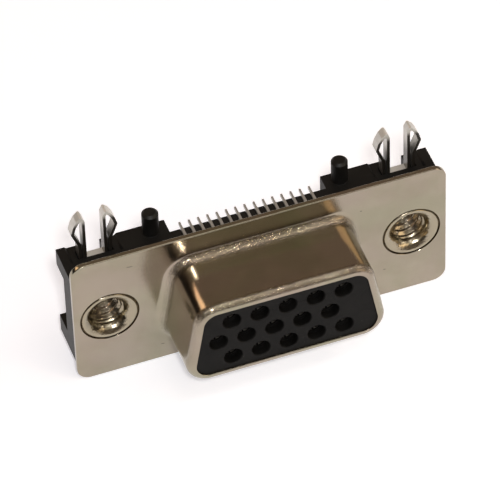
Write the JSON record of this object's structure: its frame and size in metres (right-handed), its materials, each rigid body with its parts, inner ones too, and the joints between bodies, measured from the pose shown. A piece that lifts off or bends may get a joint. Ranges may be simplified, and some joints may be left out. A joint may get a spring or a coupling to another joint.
{
  "type": "d-sub connector",
  "caption": "Right-angle high-density D-sub receptacle for surface mounting, with a drawn D shroud, screw inserts, locating pegs and board locks.",
  "frame": {"origin": "midway between the two screw inserts, on the front face of the flange", "axes": "+X along the screw line, to the right seen from the front; +Y to the back, away from the mating plug; +Z towards the board face with the pegs and locks. The part is shown with that face up, and is turned over to go onto a board"},
  "size_m": [0.0308, 0.0102, 0.0149],
  "materials": {
    "nickel_shell": "bright nickel plate on drawn steel",
    "face_insulator": "moulded black, satin",
    "housing": "moulded black, satin",
    "insert": "bright nickel plate on turned brass",
    "lock_strip": "tin plate on spring strip",
    "contact_metal": "tin plate on copper alloy"
  },
  "bodies": {
    "root": {"front_shell": "nickel_shell", "front_insulator": "face_insulator", "housing": "housing", "threaded_insert_left": "insert", "threaded_insert_right": "insert", "boardlock_left": "lock_strip", "boardlock_right": "lock_strip", "contact_01": "contact_metal", "contact_02": "contact_metal", "contact_03": "contact_metal", "contact_04": "contact_metal", "contact_05": "contact_metal", "contact_06": "contact_metal", "contact_07": "contact_metal", "contact_08": "contact_metal", "contact_09": "contact_metal", "contact_10": "contact_metal", "contact_11": "contact_metal", "contact_12": "contact_metal", "contact_13": "contact_metal", "contact_14": "contact_metal", "contact_15": "contact_metal"}
  },
  "joints": []
}
